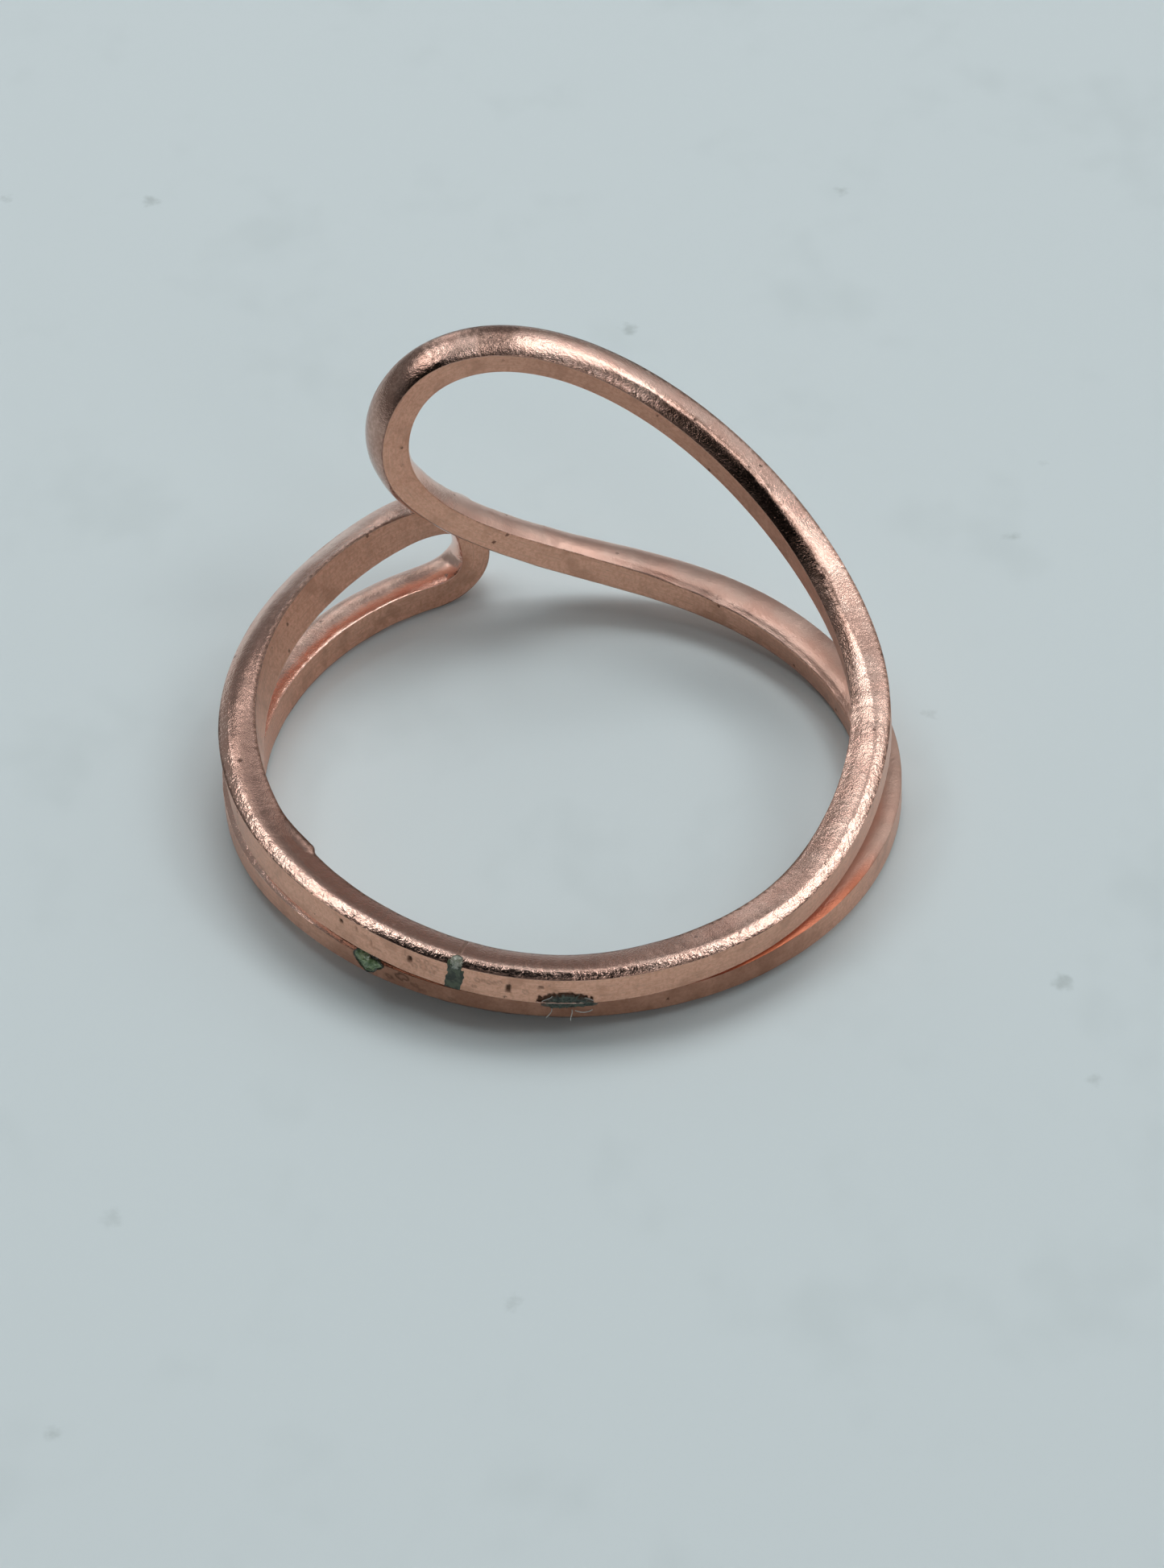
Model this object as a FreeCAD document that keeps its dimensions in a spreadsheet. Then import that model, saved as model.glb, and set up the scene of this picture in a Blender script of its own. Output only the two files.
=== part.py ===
import FreeCAD, Part
import Sketcher
import math
import os

# A bent-wire finger ring, lying on its side on a flat surface.
#
# One closed course of flattened wire runs round the finger hole twice: an upper strand and a
# lower strand, soldered together at the front. At the back the two strands part and turn back
# into each other, as a large teardrop loop on the right and a low hairpin loop on the left.
# The lower arm of the large loop passes inside the end of the hairpin without touching it.
#
# The origin is the centre of the finger hole, on the resting plane. Z is the finger axis.

Vector = FreeCAD.Vector

SIZES = (
    # Section of the wire: flat inner and outer faces, rounded crowns above and below.
    ("wire_thickness", 1.20),
    ("wire_depth", 1.20),
    ("wire_flat", 0.84),
    ("crown_radius", 1.09),
    # Joints between the two wires: where they are, and how wide the solder in them is.
    ("upper_joint_angle", -107.0),
    ("upper_joint_height", 1.97),
    ("upper_joint_radius", 9.45),
    ("lower_joint_angle", -123.0),
    ("lower_joint_height", 0.82),
    ("lower_joint_radius", 9.25),
    ("solder_gap_angle", 3.0),
    # How far out the line lies that holds the flat faces square to the finger hole.
    ("guide_offset", 2.0),
    # The planed underside: a disc wider than the ring, cut from the resting plane downwards.
    ("rest_cut_radius", 14.0),
    ("rest_cut_depth", 1.0),
    # Wedge of solder in the groove between the strands.
    ("seam_root", 0.03),
    ("seam_mouth", 0.10),
    ("seam_width", 0.20),
    # Droplet of flux on top of the upper joint.
    ("droplet_radius", 0.26),
    ("droplet_crown_radius", 0.31),
    # Bead of flux beside the lower joint, and the thin patch of it further along the seam.
    ("bead_length", 0.90),
    ("bead_height", 0.42),
    ("bead_rise", 0.20),
    ("bead_taper", 25.0),
    ("bead_face_radius", 10.02),
    ("bead_centre_height", 1.45),
    ("patch_angle", -89.0),
    ("patch_length", 1.40),
    ("patch_height", 0.16),
    ("patch_rise", 0.12),
    ("patch_taper", 15.0),
    ("patch_face_radius", 9.83),
    ("patch_centre_height", 1.13),
)

# Stations of each wire's centre line between its two joints, in the order of the closed course:
# angle round the finger axis, height, radius, and the twist of the flat faces.
LARGE_LOOP = (
    (-90, 1.80, 9.45, 0),
    (-65, 1.80, 9.40, -3),
    (-45, 1.95, 9.35, -4),
    (-25, 2.55, 9.25, 0),
    (0, 3.30, 9.20, 6),
    (20, 3.90, 9.20, 8),
    (40, 5.05, 9.25, 6),
    (60, 6.70, 9.30, 7),
    (80, 8.35, 9.35, 9),
    (95, 9.25, 9.35, 11),
    (107, 9.45, 9.35, 8),
    (117, 8.95, 9.35, 0),
    (122.5, 7.70, 9.35, -4),
    (122.5, 6.20, 9.25, -8),
    (117, 4.75, 8.90, -6),
    (105, 3.20, 8.60, 2),
    (90, 2.00, 8.60, 8),
    (70, 1.25, 8.75, 4),
    (45, 0.90, 9.10, -7),
    (20, 0.65, 9.50, -8),
    (-5, 0.57, 9.65, -3),
    (-30, 0.57, 9.50, -4),
    (-60, 0.57, 9.30, -5),
    (-90, 0.59, 9.20, -4),
)
SMALL_LOOP = (
    (-140, 0.92, 9.30, 0),
    (-155, 0.80, 9.35, 0),
    (-185, 0.57, 9.40, 4),
    (-220, 0.57, 9.40, 6),
    (-242, 0.57, 9.45, 3),
    (-250, 0.63, 9.65, 0),
    (-253.5, 1.15, 9.80, 0),
    (-254, 1.90, 9.95, 0),
    (-252.5, 2.60, 10.05, -3),
    (-247, 3.10, 9.95, -5),
    (-238, 3.30, 9.70, -11),
    (-225, 3.25, 9.45, -20),
    (-205, 3.00, 9.35, -22),
    (-180, 2.60, 9.35, -13),
    (-155, 2.25, 9.35, 0),
    (-130, 2.15, 9.35, 4),
)

# Stations of the groove between the strands, along the soldered stretch.
SEAM = (
    (-133, 1.51, 9.65, 0),
    (-121, 1.415, 9.65, 0),
    (-115, 1.37, 9.65, 0),
    (-106, 1.31, 9.65, 0),
    (-94, 1.19, 9.65, 0),
    (-84, 1.12, 9.65, 0),
)

FIELDS = ("angle", "height", "radius", "twist")

# Names for a sketch's point numbers and its own lines.
START, END, CENTRE = 1, 2, 3
ORIGIN = (-1, START)
UPRIGHT_AXIS = -2


def fill_sheet(doc):
    """The driving dimensions, and one row for each station of each centre line."""
    sheet = doc.addObject("Spreadsheet::Sheet", "Sizes")
    row = 1
    for alias, value in SIZES:
        sheet.set(f"A{row}", alias)
        sheet.set(f"B{row}", str(value))
        sheet.setAlias(f"B{row}", alias)
        row += 1
    for name, stations in (("large", LARGE_LOOP), ("small", SMALL_LOOP), ("seam", SEAM)):
        for number, station in enumerate(stations, 1):
            sheet.set(f"A{row}", f"{name} station {number}")
            for column, field, value in zip("BCDE", FIELDS, station):
                sheet.set(f"{column}{row}", str(value))
                sheet.setAlias(f"{column}{row}", f"{name}_{field}_{number}")
            row += 1
    doc.recompute()
    return sheet


def read_stations(sheet, name, count):
    """The stations of one centre line, as the sheet holds them."""
    return [
        tuple(getattr(sheet, f"{name}_{field}_{number}") for field in FIELDS)
        for number in range(1, count + 1)
    ]


def joint_end(sheet, joint, side):
    """The end of a wire at a joint, half the solder's width to one side of it."""
    angle = getattr(sheet, f"{joint}_joint_angle") + side * sheet.solder_gap_angle / 2
    return (angle, getattr(sheet, f"{joint}_joint_height"), getattr(sheet, f"{joint}_joint_radius"), 0)


def on_ring(angle, height, radius):
    turn = math.radians(angle)
    return Vector(radius * math.cos(turn), radius * math.sin(turn), height)


def course(points, stations):
    """A smooth curve through the points that starts and ends level, round the finger axis."""
    def level(angle, way):
        turn = math.radians(angle)
        return Vector(-way * math.sin(turn), way * math.cos(turn), 0)

    start_way = math.copysign(1, stations[1][0] - stations[0][0])
    end_way = math.copysign(1, stations[-1][0] - stations[-2][0])
    curve = Part.BSplineCurve()
    curve.interpolate(
        Points=points,
        InitialTangent=level(stations[0][0], start_way),
        FinalTangent=level(stations[-1][0], end_way),
        Scale=False,
    )
    return curve


def add_route(doc, sheet, name, stations):
    """The centre line, and the guide line beside it that carries the twist of the flat faces."""
    centres = [on_ring(angle, height, radius) for angle, height, radius, _ in stations]
    centre_line = course(centres, stations)
    guides = []
    for centre, (angle, _, _, twist) in zip(centres, stations):
        tangent = centre_line.tangent(centre_line.parameter(centre))[0]
        outward = on_ring(angle, 0, 1)
        outward = (outward - tangent * outward.dot(tangent)).normalize()
        sideways = outward.cross(tangent)
        turn = math.radians(twist)
        lean = outward * math.cos(turn) + sideways * math.sin(turn)
        guides.append(centre + lean * sheet.guide_offset)
    route = doc.addObject("Part::Feature", f"{name}_route")
    route.Shape = centre_line.toShape()
    guide = doc.addObject("Part::Feature", f"{name}_guide")
    guide.Shape = course(guides, stations).toShape()
    return route, guide


def origin_plane(body, role):
    return next(plane for plane in body.Origin.OriginFeatures if plane.Role == role)


def add_sketch(body, name, role):
    """A sketch on one of the body's own origin planes, moved or turned from it later."""
    sketch = body.newObject("Sketcher::SketchObject", name)
    sketch.AttachmentSupport = [(origin_plane(body, role), "")]
    sketch.MapMode = "FlatFace"
    return sketch


def add_radial_sketch(body, name, angle):
    """A sketch in the upright plane through the finger axis at this angle; X is the radius."""
    sketch = add_sketch(body, name, "XZ_Plane")
    sketch.AttachmentOffset = FreeCAD.Placement(Vector(), FreeCAD.Rotation(Vector(0, 1, 0), 1))
    sketch.setExpression("AttachmentOffset.Rotation.Angle", angle)
    return sketch


def turn_body(body, angle):
    """Turns the whole body round the finger axis to this angle."""
    body.Placement = FreeCAD.Placement(Vector(), FreeCAD.Rotation(Vector(0, 0, 1), 1))
    body.setExpression("Placement.Rotation.Angle", angle)


def keep(sketch, *rules):
    """Rules without a size: coincident, level, upright."""
    for rule in rules:
        sketch.addConstraint(Sketcher.Constraint(*rule))


def size(sketch, name, rule, value, formula):
    """A dimension that follows the sheet."""
    index = sketch.addConstraint(Sketcher.Constraint(*rule, value))
    sketch.renameConstraint(index, name)
    sketch.setExpression(f"Constraints.{name}", formula)


def draw_wire_section(sketch, sheet, joint):
    """The wire's section at a joint: two upright flats joined by two crowned arcs."""
    radius = getattr(sheet, f"{joint}_joint_radius")
    height = getattr(sheet, f"{joint}_joint_height")
    half_thickness = sheet.wire_thickness / 2
    half_flat = sheet.wire_flat / 2
    crown = sheet.crown_radius
    crown_drop = sheet.wire_depth / 2 - crown
    corner = math.atan2(half_flat - crown_drop, half_thickness)

    def point(across, up):
        return Vector(radius + across, height + up, 0)

    def crown_arc(up, start, end):
        return Part.ArcOfCircle(Part.Circle(point(0, up), Vector(0, 0, 1), crown), start, end)

    inner, upper, outer, lower = range(4)
    sketch.addGeometry([
        Part.LineSegment(point(-half_thickness, -half_flat), point(-half_thickness, half_flat)),
        crown_arc(crown_drop, corner, math.pi - corner),
        Part.LineSegment(point(half_thickness, -half_flat), point(half_thickness, half_flat)),
        crown_arc(-crown_drop, math.pi + corner, 2 * math.pi - corner),
    ], False)
    keep(
        sketch,
        ("Vertical", inner),
        ("Vertical", outer),
        ("Horizontal", inner, START, outer, START),
        ("Horizontal", inner, END, outer, END),
        ("Coincident", inner, END, upper, END),
        ("Coincident", upper, START, outer, END),
        ("Coincident", outer, START, lower, END),
        ("Coincident", lower, START, inner, START),
    )
    across = ("DistanceX", inner, START, outer, START)
    size(sketch, "Thickness", across, sheet.wire_thickness, "Sizes.wire_thickness")
    size(sketch, "Flat", ("DistanceY", inner, START, inner, END), sheet.wire_flat, "Sizes.wire_flat")
    size(sketch, "UpperCrown", ("Radius", upper), crown, "Sizes.crown_radius")
    size(sketch, "LowerCrown", ("Radius", lower), crown, "Sizes.crown_radius")
    size(
        sketch, "InnerFace", ("DistanceX", *ORIGIN, inner, START),
        radius - half_thickness, f"Sizes.{joint}_joint_radius - Sizes.wire_thickness / 2",
    )
    size(
        sketch, "LowCorner", ("DistanceY", *ORIGIN, inner, START),
        height - half_flat, f"Sizes.{joint}_joint_height - Sizes.wire_flat / 2",
    )


def draw_wedge_section(sketch, sheet):
    """The seam's section: narrow at the root of the groove, wider at its mouth."""
    half_width = sheet.seam_width / 2
    half_root = sheet.seam_root / 2
    half_mouth = sheet.seam_mouth / 2
    low_root, high_root, high_mouth, low_mouth = (
        Vector(sheet.seam_radius_1 + across, sheet.seam_height_1 + up, 0)
        for across, up in (
            (-half_width, -half_root), (-half_width, half_root),
            (half_width, half_mouth), (half_width, -half_mouth),
        )
    )
    root, upper, mouth, lower = range(4)
    sketch.addGeometry([
        Part.LineSegment(low_root, high_root),
        Part.LineSegment(high_root, high_mouth),
        Part.LineSegment(high_mouth, low_mouth),
        Part.LineSegment(low_mouth, low_root),
    ], False)
    keep(
        sketch,
        ("Vertical", root),
        ("Vertical", mouth),
        ("Equal", upper, lower),
        ("Coincident", root, END, upper, START),
        ("Coincident", upper, END, mouth, START),
        ("Coincident", mouth, END, lower, START),
        ("Coincident", lower, END, root, START),
    )
    size(sketch, "Root", ("DistanceY", root, START, root, END), sheet.seam_root, "Sizes.seam_root")
    size(sketch, "Mouth", ("DistanceY", mouth, END, mouth, START), sheet.seam_mouth, "Sizes.seam_mouth")
    size(sketch, "Width", ("DistanceX", root, START, mouth, END), sheet.seam_width, "Sizes.seam_width")
    size(
        sketch, "RootRadius", ("DistanceX", *ORIGIN, root, START),
        low_root.x, "Sizes.seam_radius_1 - Sizes.seam_width / 2",
    )
    size(
        sketch, "RootHeight", ("DistanceY", *ORIGIN, root, START),
        low_root.y, "Sizes.seam_height_1 - Sizes.seam_root / 2",
    )


def draw_cut_corner_block(sketch, sheet, name):
    """A lozenge about the joint line: a rectangle with each corner cut back by a quarter."""
    length = getattr(sheet, f"{name}_length")
    height = getattr(sheet, f"{name}_height")
    centre_height = getattr(sheet, f"{name}_centre_height")
    corners = [
        Vector(across * length / 4, centre_height + up * height / 4, 0)
        for across, up in (
            (-1, -2), (1, -2), (2, -1), (2, 1), (1, 2), (-1, 2), (-2, 1), (-2, -1),
        )
    ]
    count = len(corners)
    sketch.addGeometry(
        [Part.LineSegment(corners[i], corners[(i + 1) % count]) for i in range(count)], False
    )
    keep(sketch, *(("Coincident", i, END, (i + 1) % count, START) for i in range(count)))
    bottom, right, top, left = 0, 2, 4, 6
    keep(
        sketch,
        ("Horizontal", bottom), ("Vertical", right), ("Horizontal", top), ("Vertical", left),
        ("Equal", bottom, top), ("Equal", left, right),
        ("Vertical", bottom, START, top, END),
        ("Horizontal", right, START, left, END),
    )
    half = f"Sizes.{name}_length / 2"
    size(sketch, "TopEdge", ("DistanceX", bottom, START, bottom, END), length / 2, half)
    size(
        sketch, "SideEdge", ("DistanceY", right, START, right, END),
        height / 2, f"Sizes.{name}_height / 2",
    )
    size(
        sketch, "Length", ("DistanceX", left, START, right, START),
        length, f"Sizes.{name}_length",
    )
    size(
        sketch, "Height", ("DistanceY", bottom, START, top, START),
        height, f"Sizes.{name}_height",
    )
    size(
        sketch, "CutLength", ("DistanceX", bottom, END, right, START),
        length / 4, f"Sizes.{name}_length / 4",
    )
    size(
        sketch, "CutHeight", ("DistanceY", bottom, END, right, START),
        height / 4, f"Sizes.{name}_height / 4",
    )
    size(
        sketch, "Side", ("DistanceX", *ORIGIN, right, START),
        length / 2, half,
    )
    size(
        sketch, "Level", ("DistanceY", *ORIGIN, right, END),
        centre_height + height / 4, f"Sizes.{name}_centre_height + Sizes.{name}_height / 4",
    )


def add_pipe(body, label, sketch, route, guide):
    """The sketch swept along the route, kept facing the guide line."""
    binders = []
    for line in (route, guide):
        binder = body.newObject("PartDesign::SubShapeBinder", f"{label}_{line.Name}")
        binder.Support = [(line, ("Edge1",))]
        binders.append(binder)
    pipe = body.newObject("PartDesign::AdditivePipe", f"{label}_pipe")
    pipe.Profile = sketch
    pipe.Spine = (binders[0], ["Edge1"])
    pipe.Mode = "Auxiliary"
    pipe.AuxiliarySpine = (binders[1], ["Edge1"])
    pipe.AuxiliaryCurvilinear = True


def add_rest_cut(body, label, sheet):
    """Takes off what hangs below the resting plane, so the ring lies on small true flats."""
    sketch = add_sketch(body, f"{label}_rest_disc", "XY_Plane")
    sketch.addGeometry([Part.Circle(Vector(), Vector(0, 0, 1), sheet.rest_cut_radius)], False)
    keep(sketch, ("Coincident", 0, CENTRE, *ORIGIN))
    size(sketch, "Reach", ("Radius", 0), sheet.rest_cut_radius, "Sizes.rest_cut_radius")
    cut = body.newObject("PartDesign::Pocket", f"{label}_rest_cut")
    cut.Profile = sketch
    cut.Reversed = False
    cut.setExpression("Length", "Sizes.rest_cut_depth")


def add_wire(doc, sheet, label, name, count, joints, side):
    """One length of wire, from one joint round its loop to the other joint."""
    stations = read_stations(sheet, name, count)
    near_joint, far_joint = joints
    near_end = joint_end(sheet, near_joint, side)
    far_end = joint_end(sheet, far_joint, side)
    route, guide = add_route(doc, sheet, name, [near_end, *stations, far_end])
    body = doc.addObject("PartDesign::Body", label)
    half_gap = "+ Sizes.solder_gap_angle / 2" if side > 0 else "- Sizes.solder_gap_angle / 2"
    angle = f"Sizes.{near_joint}_joint_angle {half_gap}"
    sketch = add_radial_sketch(body, f"{label}_section", angle)
    draw_wire_section(sketch, sheet, near_joint)
    add_pipe(body, label, sketch, route, guide)
    doc.recompute()
    whole = body.Shape.Volume
    add_rest_cut(body, label, sheet)
    doc.recompute()
    if not 0 < whole - body.Shape.Volume < sheet.wire_depth:
        raise ValueError(f"{label}: the rest cut took {whole - body.Shape.Volume:.3f} mm3")
    expected = Part.Face(sketch.Shape.Wires[0]).Area * route.Shape.Length
    print(f"{label}: {whole:.2f} mm3 before the rest cut, section times length {expected:.2f} mm3")
    return body


def add_butt_solder(doc, sheet, joint):
    """The solder between the two wires' ends: the wire's section turned through the gap."""
    label = f"{joint}_butt_solder"
    body = doc.addObject("PartDesign::Body", label)
    sketch = add_radial_sketch(body, f"{label}_section", f"Sizes.{joint}_joint_angle")
    draw_wire_section(sketch, sheet, joint)
    turned = body.newObject("PartDesign::Revolution", f"{label}_turned")
    turned.Profile = sketch
    turned.ReferenceAxis = (sketch, ["V_Axis"])
    turned.Midplane = True
    turned.setExpression("Angle", "Sizes.solder_gap_angle")
    return body


def add_seam_solder(doc, sheet):
    """The solder in the groove between the strands, thin where the strands nearly touch."""
    label = "seam_solder"
    route, guide = add_route(doc, sheet, "seam", read_stations(sheet, "seam", len(SEAM)))
    body = doc.addObject("PartDesign::Body", label)
    sketch = add_radial_sketch(body, f"{label}_section", "Sizes.seam_angle_1")
    draw_wedge_section(sketch, sheet)
    add_pipe(body, label, sketch, route, guide)
    return body


def add_droplet(doc, sheet):
    """A dome of flux on top of the upper joint, on the wire's crown."""
    label = "flux_bead_upper"
    body = doc.addObject("PartDesign::Body", label)
    sketch = add_sketch(body, f"{label}_profile", "XZ_Plane")
    sketch.setExpression("AttachmentOffset.Base.x", "Sizes.upper_joint_radius")
    crown_height = "Sizes.upper_joint_height + Sizes.wire_depth / 2"
    sketch.setExpression("AttachmentOffset.Base.y", crown_height)
    reach = sheet.droplet_radius
    dome = sheet.droplet_crown_radius
    drop = math.sqrt(dome ** 2 - reach ** 2)
    base, arc, axis = range(3)
    sketch.addGeometry([
        Part.LineSegment(Vector(), Vector(reach, 0, 0)),
        Part.ArcOfCircle(
            Part.Circle(Vector(0, -drop, 0), Vector(0, 0, 1), dome),
            math.atan2(drop, reach), math.pi / 2,
        ),
        Part.LineSegment(Vector(0, dome - drop, 0), Vector()),
    ], False)
    keep(
        sketch,
        ("Coincident", base, START, *ORIGIN),
        ("Horizontal", base),
        ("Coincident", base, END, arc, START),
        ("Coincident", arc, END, axis, START),
        ("Coincident", axis, END, base, START),
        ("Vertical", axis),
        ("PointOnObject", arc, CENTRE, UPRIGHT_AXIS),
    )
    size(sketch, "Reach", ("DistanceX", base, START, base, END), reach, "Sizes.droplet_radius")
    size(sketch, "Dome", ("Radius", arc), dome, "Sizes.droplet_crown_radius")
    turned = body.newObject("PartDesign::Revolution", f"{label}_dome")
    turned.Profile = sketch
    turned.ReferenceAxis = (sketch, ["V_Axis"])
    turned.Angle = 360
    turn_body(body, "Sizes.upper_joint_angle")
    return body


def add_flux_block(doc, sheet, label, name, angle):
    """A lozenge of flux that narrows outwards, on the outer side of the strands."""
    body = doc.addObject("PartDesign::Body", label)
    sketch = add_sketch(body, f"{label}_outline", "XZ_Plane")
    sketch.setExpression("AttachmentOffset.Base.z", f"Sizes.{name}_face_radius")
    draw_cut_corner_block(sketch, sheet, name)
    pad = body.newObject("PartDesign::Pad", f"{label}_pad")
    pad.Profile = sketch
    pad.setExpression("Length", f"Sizes.{name}_rise")
    pad.setExpression("TaperAngle", f"-Sizes.{name}_taper")
    turn_body(body, f"{angle} + 90")
    return body


def check_document(doc, pieces):
    """Stops before anything is written if a feature failed or a piece is not one valid solid."""
    for item in doc.Objects:
        if {"Invalid", "Error"} & set(item.State):
            raise ValueError(f"{item.Name}: {item.State}")
    for piece in pieces:
        shape = piece.Shape
        if shape.isNull() or not shape.isValid() or len(shape.Solids) != 1:
            raise ValueError(f"{piece.Label}: not one valid solid")


def main():
    doc = FreeCAD.newDocument("bent_wire_ring")
    sheet = fill_sheet(doc)
    large = add_wire(
        doc, sheet, "large_loop_wire", "large", len(LARGE_LOOP), ("upper", "lower"), 1
    )
    small = add_wire(
        doc, sheet, "small_loop_wire", "small", len(SMALL_LOOP), ("lower", "upper"), -1
    )
    pieces = [
        large,
        small,
        add_butt_solder(doc, sheet, "upper"),
        add_butt_solder(doc, sheet, "lower"),
        add_seam_solder(doc, sheet),
        add_droplet(doc, sheet),
        add_flux_block(doc, sheet, "flux_bead_lower", "bead", "Sizes.lower_joint_angle"),
        add_flux_block(doc, sheet, "flux_bead_seam", "patch", "Sizes.patch_angle"),
    ]
    doc.recompute()
    check_document(doc, pieces)
    os.makedirs("parts", exist_ok=True)
    for piece in pieces:
        piece.Shape.exportStep(f"parts/{piece.Label}.step")
        print(f"{piece.Label}: {piece.Shape.Volume:.4f} mm3")


main()
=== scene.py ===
import math
from types import SimpleNamespace

import bpy
import numpy as np
from mathutils import Matrix, Vector


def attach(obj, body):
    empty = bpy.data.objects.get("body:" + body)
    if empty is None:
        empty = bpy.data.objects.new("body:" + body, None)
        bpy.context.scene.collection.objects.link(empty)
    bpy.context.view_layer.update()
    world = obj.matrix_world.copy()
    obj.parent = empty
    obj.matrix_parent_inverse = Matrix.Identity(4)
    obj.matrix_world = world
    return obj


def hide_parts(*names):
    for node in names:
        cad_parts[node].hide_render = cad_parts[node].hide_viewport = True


# A copper bent-wire finger ring on a pale surface. Sizes here are in millimetres, in the frame
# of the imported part, and MM turns them into metres when an object is made.

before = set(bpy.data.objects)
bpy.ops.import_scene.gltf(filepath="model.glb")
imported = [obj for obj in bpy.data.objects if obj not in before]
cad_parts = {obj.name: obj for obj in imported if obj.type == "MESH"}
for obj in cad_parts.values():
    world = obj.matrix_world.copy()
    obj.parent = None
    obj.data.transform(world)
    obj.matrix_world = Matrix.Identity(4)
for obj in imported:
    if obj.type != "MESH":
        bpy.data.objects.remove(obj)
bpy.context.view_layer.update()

MM = 0.001

# ===== The wire's course =====

# Stations of the closed centre line: angle round the finger axis, height, radius, twist of the
# flat faces, half-heights of the outer face above and below the centre line, half-height of the
# inner face, how sharp the upper crown's ridge is and how far out it lies. The wire turns over
# at each loop's tip, so the section's upper side faces down all along the lower strand.
COURSE = (
    (-107, 1.97, 9.45, 0, .42, .51, .27, 1.8, .45), (-90, 1.80, 9.45, 0, .41, .53, .25, 1.9, .50),
    (-65, 1.80, 9.40, -3, .41, .53, .30, 1.45, .42), (-45, 1.95, 9.35, -4, .41, .49, .34, 1.3, .36),
    (-25, 2.55, 9.25, 0, .41, .45, .37, 1.3, .36), (0, 3.30, 9.20, 6, .42, .43, .41, 1.35, .15),
    (20, 3.90, 9.20, 8, .43, .42, .42, 1.2, -.33), (40, 5.05, 9.25, 6, .43, .41, .40, 1.25, -.24),
    (60, 6.70, 9.30, 7, .43, .41, .35, 1.4, -.26), (80, 8.35, 9.35, 9, .43, .42, .34, 1.8, -.15),
    (95, 9.25, 9.35, 11, .45, .42, .36, 2.2, .10), (107, 9.45, 9.35, 8, .46, .42, .39, 2.3, .10),
    (117, 8.95, 9.35, 0, .46, .41, .44, 2.3, .05), (122.5, 7.70, 9.35, -4, .46, .40, .46, 2.3, 0),
    (122.5, 6.20, 9.25, -8, .47, .39, .43, 2.3, 0), (117, 4.75, 8.90, -6, .46, .37, .38, 2.3, 0),
    (105, 3.20, 8.60, 2, .45, .37, .38, 2.2, 0), (90, 2.00, 8.60, 8, .44, .38, .42, 2.0, 0),
    (70, 1.25, 8.75, 4, .43, .43, .43, 1.8, 0), (45, 0.90, 9.10, -7, .43, .48, .42, 1.8, 0),
    (20, 0.65, 9.50, -8, .42, .48, .41, 2.0, 0), (-5, 0.57, 9.65, -3, .40, .45, .42, 2.2, 0),
    (-30, 0.57, 9.50, -4, .34, .44, .43, 2.2, 0), (-60, 0.57, 9.30, -5, .24, .43, .45, 2.2, 0),
    (-90, 0.59, 9.20, -4, .14, .42, .46, 2.2, 0), (-123, 0.82, 9.25, -2, .16, .42, .46, 2.2, 0),
    (-140, 0.92, 9.30, 0, .21, .42, .46, 2.2, 0), (-155, 0.80, 9.35, 0, .26, .42, .45, 2.2, 0),
    (-185, 0.57, 9.40, 4, .34, .42, .45, 2.2, 0), (-220, 0.57, 9.40, 6, .40, .44, .43, 2.2, 0),
    (-242, 0.57, 9.45, 3, .43, .44, .44, 2.2, 0), (-250, 0.63, 9.65, 0, .44, .44, .45, 2.2, 0),
    (-253.5, 1.15, 9.80, 0, .44, .44, .45, 2.2, 0), (-254, 1.90, 9.95, 0, .44, .44, .45, 2.2, 0),
    (-252.5, 2.60, 10.05, -3, .42, .44, .46, 2.2, 0), (-247, 3.10, 9.95, -5, .42, .44, .50, 2.2, -.10),
    (-238, 3.30, 9.70, -11, .41, .43, .55, 2.0, -.20), (-225, 3.25, 9.45, -20, .41, .43, .58, 1.9, -.20),
    (-205, 3.00, 9.35, -22, .41, .42, .56, 1.9, -.10), (-180, 2.60, 9.35, -13, .41, .43, .50, 2.0, .10),
    (-155, 2.25, 9.35, 0, .42, .45, .41, 1.6, .20), (-130, 2.15, 9.35, 4, .42, .47, .33, 1.4, .32),
)
UPPER_JOINT = 0  # the stations where the two joints are
LOWER_JOINT = 25

HALF_THICKNESS = 0.595
HALF_DEPTH = 0.595
SOLDER_HALF_GAP = 0.05


def ring_point(angle, height, radius):
    """Points from angles in degrees round the finger axis, heights and radii."""
    turn = np.radians(angle)
    return np.stack([radius * np.cos(turn), radius * np.sin(turn), height + 0 * turn], -1)


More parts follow.
